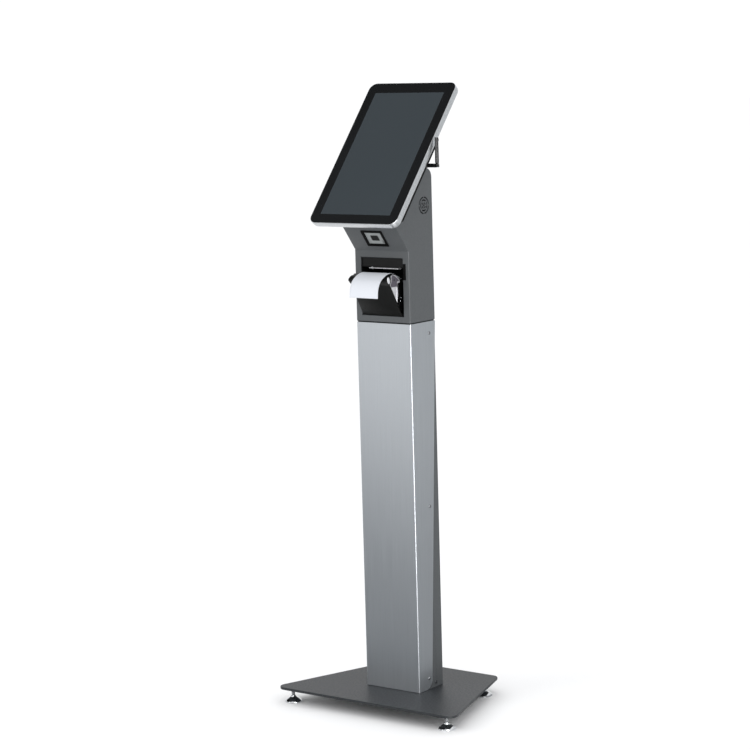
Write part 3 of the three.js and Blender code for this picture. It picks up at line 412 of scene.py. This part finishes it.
def refined(node, material, width, segments=2, angle=30, share=None):
    """A copy of a CAD node with its flat faces merged and its edges rounded.

    share(middle, direction) gives each sharp edge its part of the width, from 0 to 1.
    """
    bm = bmesh.new()
    bm.from_mesh(frame["nodes"][node].data)
    bmesh.ops.remove_doubles(bm, verts=bm.verts, dist=SAME_PLACE)
    flat = math.radians(FLAT_ANGLE)
    bmesh.ops.dissolve_limit(bm, angle_limit=flat, verts=bm.verts, edges=bm.edges)
    bmesh.ops.connect_verts_concave(bm, faces=bm.faces)
    if share:
        weight = bm.edges.layers.float.new("bevel_weight_edge")
        sharp = math.radians(angle)
        for edge in bm.edges:
            if len(edge.link_faces) == 2 and edge.calc_face_angle() > sharp:
                ends = [v.co for v in edge.verts]
                middle = (ends[0] + ends[1]) / 2
                edge[weight] = share(middle, (ends[1] - ends[0]).normalized())
    mesh = mesh_of(node + "_skin", bm)
    piece = settle(node + "_skin", mesh, material, body_of(node), slot_of(node), node)
    if width:
        round_edges(piece, width, segments, angle, bool(share))


def turned(name, profile, place, axis, material, body, slot, *replaced, sides=64, sharp=30):
    """A turned piece from [radius, height] points in millimetres, along axis from place."""
    bm = bmesh.new()
    turn = Vector((0, 0, 1)).rotation_difference(Vector(axis)).to_matrix()
    rings = []
    for radius, height in profile:
        if radius < 1e-6:
            point = Vector(place) + turn @ Vector((0, 0, height * MM))
            rings.append([bm.verts.new(point)])
            continue
        ring = []
        for i in range(sides):
            angle = i / sides * 2 * math.pi
            local = Vector((radius * math.cos(angle), radius * math.sin(angle), height))
            ring.append(bm.verts.new(Vector(place) + turn @ (local * MM)))
        rings.append(ring)
    for lower, upper in zip(rings, rings[1:] + rings[:1]):
        if len(lower) == 1 and len(upper) == 1:
            continue
        for i in range(sides):
            j = (i + 1) % sides
            if len(lower) == 1:
                bm.faces.new((lower[0], upper[i], upper[j]))
            elif len(upper) == 1:
                bm.faces.new((lower[i], lower[j], upper[0]))
            else:
                bm.faces.new((lower[i], lower[j], upper[j], upper[i]))
    mesh = mesh_of(name, bm)
    settle(name, mesh, material, body, slot, *replaced, sharp=sharp)


def rounded_rectangle(x0, y0, x1, y1, radius, steps):
    corners = [
        (x1 - radius, y0 + radius, -90),
        (x1 - radius, y1 - radius, 0),
        (x0 + radius, y1 - radius, 90),
        (x0 + radius, y0 + radius, 180),
    ]
    points = []
    for cx, cy, start in corners:
        for i in range(steps + 1):
            angle = math.radians(start + 90 * i / steps)
            points.append((cx + radius * math.cos(angle), cy + radius * math.sin(angle)))
    return points


# ---------------------------------------------------------------- fine copies of the CAD nodes


HEAD_HALF_WIDTH = 0.076
HEAD_REAR_Y = 0.046
LIP_Y = -0.09  # what lies in front of this is the lip under the display
GRILLE_Y, GRILLE_Z, GRILLE_REACH = 0.014, 1.163, 0.024
HINGE_ROOT_X, HINGE_ROOT_Y = -0.0715, 0.0472


def fold_share(middle, direction):
    """The head's outer folds are rounder than its cut edges, but less so behind, by the hinge."""
    outside = abs(abs(middle.x) - HEAD_HALF_WIDTH) < 0.0004
    crease = abs(direction.x) > 0.99 and abs(middle.x) < 0.01 and middle.y > LIP_Y
    in_grille = max(abs(middle.y - GRILLE_Y), abs(middle.z - GRILLE_Z)) < GRILLE_REACH
    at_hinge = abs(middle.x - HINGE_ROOT_X) < 0.003 and abs(middle.y - HINGE_ROOT_Y) < 0.0006
    if at_hinge:
        return 0.0
    if in_grille:
        return 0.08
    if not (outside or crease):
        return 0.14
    return 0.65 if middle.y > HEAD_REAR_Y else 1.0


# Each node, its material and the width of its rounded edges in millimetres. Some rows go on with
# their steps, and the head's with the angle that counts as sharp and the share of each edge.
REFINED = (
    ("base_plate", "powder_coat_base", 0.9, 3),
    ("column_channel", "powder_coat", 0.7),
    ("column_front_cover", "brushed_silver", 0.35),
    ("column_foot_flange", "powder_coat", 0.5),
    ("power_inlet", "black_plastic", 0.5),
    ("power_supply", "black_plastic", 1.0),
    ("head_joint_plate", "black_metal", 0.3),
    ("head_shell", "powder_coat", 2.2, 3, 25, fold_share),
    ("rear_door", "powder_coat", 0.35),
    ("rear_door_pin", "steel", 0.3),
    ("door_lock_barrel", "chrome", 0.4),
    ("door_lock_cam", "steel", 0.3),
    ("scanner_bezel", "matt_black", 0.4),
    ("scanner_light_frame", "pale_diffuser", 0.4),
    ("scanner_window", "black_plastic", 0.3),
    ("scanner_module", "black_plastic", 0.6),
    ("printer_chassis", "black_metal", 0.3),
    ("printer_mechanism", "satin_black", 0.5),
    ("print_head_bar", "steel", 0.3),
    ("cover_release_button", "matt_black", 0.5),
    ("roll_core", "cardboard", 0.2),
    ("roll_spindle", "grey_plastic", 0.4),
    ("printer_cover", "black_plastic", 0.35),
    ("cover_hinge_pin", "black_metal", 0.3),
    ("cover_striker_pin", "bright_steel", 0.5, 3),
    ("cover_side_plate_left", "bright_steel", 0.2),
    ("speaker_left", "speaker_mesh", 0),
    ("cover_side_plate_right", "bright_steel", 0.2),
    ("speaker_right", "speaker_mesh", 0),
    ("platen_gear", "grey_plastic", 0.2),
    ("display_rear_cover", "powder_coat_dark", 0.4),
    ("computer_housing", "black_metal", 0.5),
    ("mainboard", "circuit_board", 0.3),
    ("display_mount_plate", "powder_coat", 0.5),
    ("power_button", "steel", 0.5, 3),
    ("aerial_base", "gloss_black", 0.4),
    ("aerial_rod", "gloss_black", 0.5),
)


def refine_nodes():
    for row in REFINED:
        refined(*row)
    for node, material in (("tear_bar", "bright_steel"), ("lcd_panel", "screen")):
        slots = frame["nodes"][node].material_slots
        slots[0].material = MATERIALS[material]


# ---------------------------------------------------------------- feet and screws


def make_foot(place):
    pad, stem = f"foot_pad_{place}", f"foot_stem_{place}"
    low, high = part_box(pad)
    centre = Vector(((low.x + high.x) / 2, (low.y + high.y) / 2, 0))
    edge = (high.x - low.x) / 2 / MM
    dome = [
        [0, 0],
        [edge - 1.2, 0],
        [edge - 0.3, 0.4],
        [edge, 1.2],
        [edge - 0.1, 2.4],
        [edge - 0.8, 3.5],
        [edge - 2.4, 5.2],
        [edge - 5.0, 7.4],
        [edge - 8.2, 9.5],
        [edge - 11.2, 11.3],
        [edge - 12.6, 12.6],
        [edge - 13.2, 14.0],
        [edge - 13.6, 15.2],
        [edge - 14.1, 15.5],
        [4.9, 15.5],
        [4.9, 7.2],
        [0, 7.2],
    ]
    turned(pad + "_skin", dome, centre, (0, 0, 1), "chrome", body_of(pad), "chrome", pad)

    # The stem: a rolled thread of 1.5 mm pitch, a plain neck below it.
    bottom, top = (v.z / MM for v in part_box(stem))
    core, crest, pitch, sides, rows = 3.9, 4.5, 1.5, 32, 150
    bm = bmesh.new()
    rings = []
    for row in range(rows + 1):
        height = bottom + (top - bottom) * row / rows
        ring = []
        for i in range(sides):
            turn = i / sides
            wave = abs(((height / pitch - turn) % 1) * 2 - 1)
            fade = min(1, max(0, (height - bottom - 4) / 1.5), (top - height) / 0.6)
            radius = crest - (crest - core) * wave * max(0, fade)
            angle = turn * 2 * math.pi
            local = Vector((radius * math.cos(angle), radius * math.sin(angle), height))
            ring.append(bm.verts.new(centre + local * MM))
        rings.append(ring)
    join_rings(bm, rings)
    bm.faces.new(rings[0][::-1])
    bm.faces.new(rings[-1])
    mesh = mesh_of(stem + "_skin", bm)
    settle(stem + "_skin", mesh, "chrome", body_of(stem), "chrome", stem, sharp=50)


def make_screw(node, side, material):
    """A domed socket screw in the side of the column, its head outwards."""
    low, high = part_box(node)
    face = (high.x if side > 0 else low.x) - side * 2.2 * MM
    place = (face, (low.y + high.y) / 2, (low.z + high.z) / 2)
    profile = [
        [0, -8],
        [1.6, -8],
        [2, -7.5],
        [2, 0],
        [3.7, 0],
        [4, 0.3],
        [3.9, 0.8],
        [3.4, 1.5],
        [2.6, 2.0],
        [1.7, 2.2],
        [1.45, 2.1],
        [1.4, 0.7],
        [0, 0.5],
    ]
    axis = (side, 0, 0)
    name = node + "_skin"
    turned(name, profile, place, axis, material, "stand", slot_of(node), node, sides=36)


def make_feet_and_screws():
    for place in ("front_left", "front_right", "rear_left", "rear_right"):
        make_foot(place)
    for side, sign in (("left", -1), ("right", 1)):
        for level in ("upper", "middle", "lower"):
            make_screw(f"cover_screw_{side}_{level}", sign, "screw_steel")
        make_screw(f"channel_screw_{side}", sign, "dark_steel")


# ---------------------------------------------------------------- display

LEAN = math.radians(40)
# Millimetres, from the lower edge of the glass.
GLASS_HEIGHT, GLASS_RADIUS, GLASS_DEPTH = 396.0, 18.0, 2.7
LIT_HALF_WIDTH, LIT_BOTTOM, LIT_TOP = 96.8, 23.7, 367.9
BAND_BOTTOM, BAND_TOP, BAND_RADIUS = -1.0, 397.0, 19.0


def on_display(x, up, out):
    """A point by millimetres across, up the glass from its lower edge, and out of the glass."""
    low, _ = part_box("display_glass")
    origin = Vector((0, low.y, low.z + GLASS_DEPTH * MM * math.sin(LEAN)))
    along = Vector((0, math.sin(LEAN), math.cos(LEAN)))
    outward = Vector((0, -math.cos(LEAN), math.sin(LEAN)))
    return origin + Vector((x, 0, 0)) * MM + along * up * MM + outward * out * MM


def display_rings(bm, levels, half, bottom, top, radius, steps):
    """Rounded rectangles on the display, each from how far it lies inside and out of the glass."""
    rings = []
    for shrink, out in levels:
        points = rounded_rectangle(
            shrink - half, bottom + shrink, half - shrink, top - shrink, radius - shrink, steps
        )
        rings.append([bm.verts.new(on_display(x, y, out)) for x, y in points])
    return rings


def make_glass():
    """The cover glass, black round the edge, with the lit area of the panel showing through it."""
    low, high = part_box("display_glass")
    half = (high.x - low.x) / 2 / MM
    bm = bmesh.new()
    levels = [(0.0, -GLASS_DEPTH), (0.0, -0.45), (0.13, -0.13), (0.45, 0.0)]
    rings = display_rings(bm, levels, half, 0.0, GLASS_HEIGHT, GLASS_RADIUS, 12)
    join_rings(bm, rings)
    bm.faces.new(rings[0][::-1])

    # The lit area is a rectangle in the front face; the black border is bridged to it.
    x, y0, y1 = LIT_HALF_WIDTH, LIT_BOTTOM, LIT_TOP
    corners = [(x, y0), (x, y1), (-x, y1), (-x, y0)]
    lit = [bm.verts.new(on_display(x, y, 0)) for x, y in corners]
    screen = bm.faces.new(lit)
    screen.material_index = 1
    top = rings[-1]
    count = len(top)
    per = count // 4
    for corner in range(4):
        arc = top[corner * per : (corner + 1) * per]
        for a, b in zip(arc, arc[1:]):
            bm.faces.new((a, b, lit[corner]))
        following = top[((corner + 1) * per) % count]
        bm.faces.new((arc[-1], following, lit[(corner + 1) % 4], lit[corner]))
    name = "display_glass_skin"
    mesh = mesh_of(name, bm)
    settle(name, mesh, "cover_glass", "stand", "cover_glass", "display_glass")
    mesh.materials.append(MATERIALS["screen"])


def make_frame():
    """The silver band round the glass: a soft profile swept round a rounded rectangle."""
    low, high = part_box("display_frame")
    half = (high.x - low.x) / 2 / MM
    # Each station is how far it lies inside the outermost line, and how far out of the glass.
    profile = [
        (10.0, -3.0),
        (0.92, -3.0),
        (0.92, -0.6),
        (0.8, -0.45),
        (0.55, -0.4),
        (0.3, -0.5),
        (0.1, -0.8),
        (0.0, -1.3),
        (0.0, -9.0),
        (0.1, -12.2),
        (0.35, -14.4),
        (0.9, -16.2),
        (1.6, -16.9),
        (2.3, -17.0),
        (10.0, -17.0),
    ]
    bm = bmesh.new()
    rings = display_rings(bm, profile, half, BAND_BOTTOM, BAND_TOP, BAND_RADIUS, 16)
    join_rings(bm, rings + rings[:1])
    name, look = "display_frame_skin", "anodised_silver"
    settle(name, mesh_of(name, bm), look, "stand", look, "display_frame", sharp=50)


# ---------------------------------------------------------------- printer

X_AXIS = (1, 0, 0)
CHEEK_OUTSIDE = 44.0
ROLL_BORE = 9.3
LEAVES_ROLL_AT = 67  # degrees up from the rear, where the strip leaves the roll
CURL_STARTS = 0.62  # the part of the strip's length that lies flat
PAPER_THICKNESS = 0.00022
SLEEVE_HALF, SHAFT_RADIUS = 41.0, 2.5


def make_roll():
    low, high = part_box("paper_roll")
    half = (high.x - low.x) / 2 / MM
    centre = middle_of("paper_roll")
    outer, inner = (high.z - low.z) / 2 / MM, ROLL_BORE
    profile = [
        [inner, -half],
        [outer - 0.3, -half],
        [outer, 0.3 - half],
        [outer, half - 0.3],
        [outer - 0.3, half],
        [inner, half],
    ]
    name, node = "paper_roll_skin", "paper_roll"
    turned(name, profile, centre, X_AXIS, "wound_paper", node, "paper", node, sides=96)


def make_platen():
    low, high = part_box("platen_roller")
    middle = middle_of("platen_roller")
    centre = (0, middle.y, middle.z)
    left, right = low.x / MM, high.x / MM
    outer = (high.z - low.z) / 2 / MM
    sleeve, shaft = SLEEVE_HALF, SHAFT_RADIUS
    profile = [
        [0, left],
        [shaft - 0.3, left],
        [shaft, left + 0.3],
        [shaft, -sleeve],
        [outer - 0.5, -sleeve],
        [outer, 0.5 - sleeve],
        [outer, sleeve - 0.5],
        [outer - 0.5, sleeve],
        [shaft, sleeve],
        [shaft, right - 0.3],
        [shaft - 0.3, right],
        [0, right],
    ]
    name, node = "platen_roller_skin", "platen_roller"
    turned(name, profile, centre, X_AXIS, "rubber", "platen", "rubber", node)


def smooth_path(knots, steps):
    """Evenly spaced points on a Catmull-Rom curve through the knots."""
    dense = []
    for i in range(len(knots) - 1):
        p0 = knots[max(i - 1, 0)]
        p1, p2 = knots[i], knots[i + 1]
        p3 = knots[min(i + 2, len(knots) - 1)]
        for k in range(24):
            t = k / 24
            square = (2 * p0 - 5 * p1 + 4 * p2 - p3) * t * t
            cube = (3 * p1 - p0 - 3 * p2 + p3) * t**3
            dense.append(0.5 * (2 * p1 + (p2 - p0) * t + square + cube))
    dense.append(knots[-1])
    lengths = [0.0]
    for a, b in zip(dense, dense[1:]):
        lengths.append(lengths[-1] + (b - a).length)
    points, k = [], 0
    for i in range(steps + 1):
        want = lengths[-1] * i / steps
        while k < len(dense) - 2 and lengths[k + 1] < want:
            k += 1
        share = (want - lengths[k]) / max(lengths[k + 1] - lengths[k], 1e-9)
        points.append(dense[k].lerp(dense[k + 1], min(max(share, 0), 1)))
    return points


def paper_knots(top, end):
    """Where the strip passes, in (y, z): off the roll, over the hood and down to its free end."""
    roll_low, roll_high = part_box("paper_roll")
    roll_radius = (roll_high.z - roll_low.z) / 2
    roll = middle_of("paper_roll")
    angle = math.radians(LEAVES_ROLL_AT)
    spoke = Vector((math.cos(angle), math.sin(angle)))
    leaves = Vector((roll.y, roll.z)) + spoke * (roll_radius + 0.0002)
    return [
        leaves,
        Vector((-0.030, 0.9985)),
        Vector((-0.064, top - 0.0001)),
        Vector((-0.078, top)),
        Vector((-0.0865, top - 0.0018)),
        Vector((-0.095, top - 0.0052)),
        Vector((-0.108, top - 0.013)),
        Vector((-0.116, top - 0.0232)),
        Vector((-0.1205, top - 0.0362)),
        Vector(end),
    ]


def rim(rows):
    """The vertices round the edge of a sheet given as rows."""
    sides = [row[0] for row in rows], [row[-1] for row in reversed(rows)]
    return sides[0] + rows[-1][1:-1] + sides[1] + rows[0][-2:0:-1]


def make_paper():
    """One strip of paper from the roll, over the open cover's hood, curling down in front of it."""
    web_low, web_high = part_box("paper_web")
    top = web_high.z - 0.0002
    knots = paper_knots(top, (web_low.y + 0.0004, web_low.z))
    steps, columns = 72, 16
    half = (web_high.x - web_low.x) / 2
    spine = smooth_path(knots, steps)
    bm = bmesh.new()
    sheets = []
    for side in (1, -1):
        rows = []
        for i, point in enumerate(spine):
            along = (spine[min(i + 1, steps)] - spine[max(i - 1, 0)]).normalized()
            normal = Vector((along.y, -along.x))
            loose = max(0.0, i / steps - CURL_STARTS) / (1 - CURL_STARTS)
            row = []
            for j in range(columns + 1):
                across = 2 * j / columns - 1
                cup = 0.0011 * loose**2 * (across**2 - 0.35)
                ripple = 0.0005 * loose * math.sin(3.1 * across + 0.6)
                offset = normal * (side * PAPER_THICKNESS / 2 + cup + ripple)
                place = (across * half, point.x + offset.x, point.y + offset.y)
                row.append(bm.verts.new(place))
            rows.append(row)
        sheets.append(rows)
    upper, lower = sheets
    for rows, flip in ((upper, False), (lower, True)):
        for a, b in zip(rows, rows[1:]):
            for j in range(columns):
                quad = (a[j], a[j + 1], b[j + 1], b[j])
                bm.faces.new(quad[::-1] if flip else quad)
    join_rings(bm, [rim(upper), rim(lower)])
    mesh = mesh_of("receipt_paper", bm)
    for polygon in mesh.polygons:
        polygon.use_smooth = True
    mesh.materials.append(MATERIALS["paper"])
    piece = bpy.data.objects.new("receipt_paper", mesh)
    bpy.context.scene.collection.objects.link(piece)
    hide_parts("paper_web")
    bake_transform(piece)


def plate_across(name, outline, x0, x1, material, body, slot):
    """A flat plate between two x positions, its outline in (y, z), all in millimetres."""
    bm = bmesh.new()
    ends = [[bm.verts.new((x * MM, y * MM, z * MM)) for y, z in outline] for x in (x0, x1)]
    for end in ends:
        bm.faces.new(end)
    join_rings(bm, ends)
    piece = settle(name, mesh_of(name, bm), material, body, slot)
    round_edges(piece, 0.15)


def make_roll_dark_plates():
    """Black plates raised on the cheeks beside the upper half of the paper roll, so that the roll's
    side shows black there.
    """
    dark_plate_outline = [(-46.3, 982), (-46.3, 992), (-42, 998.5), (-30, 998.5), (-8, 996), (-8, 982)]
    look = "black_metal"
    for side, x in (("left", -44.1), ("right", 42.4)):
        plate_across(f"roll_dark_plate_{side}", dark_plate_outline, x, x + 1.7, look, "stand", look)


def make_side_plate_details():
    """A grey sheet of painted shade over the upper half of the cover's right side plate, and the
    plate's folded rear edge.
    """
    # Painted shade: this dark grey sheet makes the upper half of the side plate look darker,
    # standing in for the shade and dark reflection of the bay.
    cover = [(-85.3, 984.5), (-87.8, 990.2), (-83.9, 997), (-83.9, 1011.2), (-78, 1011)]
    cover += [(-70, 1008.3), (-56, 998.8), (-55.8, 996.2), (-62.7, 996), (-63.7, 984.5)]
    x, body = 51.0, "printer_cover"  # the outer face of the side plate
    plate_across("side_plate_painted_shade", cover, x, x + 0.5, "painted_shade_grey", body, "grey_plastic")
    fold = [(-65.4, 951), (-62.7, 960), (-62.1, 974), (-63.5, 982), (-65.5, 982)]
    fold += [(-64.4, 974), (-65, 960)]
    plate_across("side_plate_fold", fold, x, x + 1.0, "bright_steel", body, "steel")


def small_turned(name, profile, place, axis, material, slot):
    turned(name, profile, place, axis, material, "stand", slot, sides=24)


def make_printer_details():
    cap = [
        [0, -1.5],
        [1.4, -1.5],
        [1.4, 0],
        [2.6, 0],
        [2.9, 0.3],
        [2.7, 0.9],
        [2.0, 1.4],
        [1.0, 1.6],
        [0.9, 0.8],
        [0, 0.7],
    ]
    # Two screws on the cheek beside the paper roll.
    for name, y, z in (("upper", -41.5, 956.8), ("lower", -43.6, 949.1)):
        place = (CHEEK_OUTSIDE * MM, y * MM, z * MM)
        small_turned(f"cheek_screw_{name}", cap, place, X_AXIS, "chrome", "chrome")
    # A standoff under the print mechanism.
    mech_low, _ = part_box("printer_mechanism")
    post = [[0, 0], [2.2, 0], [2.2, 4.2], [1.9, 5.0], [1.0, 5.2], [0.9, 4.4], [0, 4.3]]
    place = (-0.034, -0.0405, mech_low.z + 0.0004)
    small_turned("mechanism_post", post, place, (0, 0, -1), "chrome", "chrome")


# ---------------------------------------------------------------- the back

REAR_COVER_BACK, HOUSING_BACK = -17.0, -52.0


def make_rear_screws():
    """Socket screws on the display's rear cover and housing, and beside the power inlet."""
    cap = [[0, -1], [1.2, -1], [1.2, 0], [2.5, 0], [2.8, 0.3], [2.7, 0.9], [2.1, 1.4], [1.3, 1.5]]
    cap += [[1.2, 0.6], [0, 0.5]]
    backward = (on_display(0, 0, -1) - on_display(0, 0, 0)).normalized()
    seats = [(x, up, REAR_COVER_BACK) for x in (-104, 104) for up in (14, 198, 382)]
    seats += [(x, up, HOUSING_BACK) for x in (-87, 87) for up in (50, 268)]
    for i, (x, up, out) in enumerate(seats):
        place = on_display(x, up, out)
        small_turned(f"back_screw_{i}", cap, place, backward, "dark_steel", "steel")
    low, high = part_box("power_inlet")
    middle = (low + high) / 2
    for name, side in (("left", -1), ("right", 1)):
        place = (middle.x + side * 20 * MM, high.y, middle.z)
        small_turned(f"inlet_screw_{name}", cap, place, (0, 1, 0), "dark_steel", "steel")


# ---------------------------------------------------------------- the kiosk


make_camera()
make_materials()
make_studio()
refine_nodes()
make_feet_and_screws()
make_glass()
make_frame()
make_roll()
make_platen()
make_paper()
make_printer_details()
make_roll_dark_plates()
make_side_plate_details()
make_rear_screws()
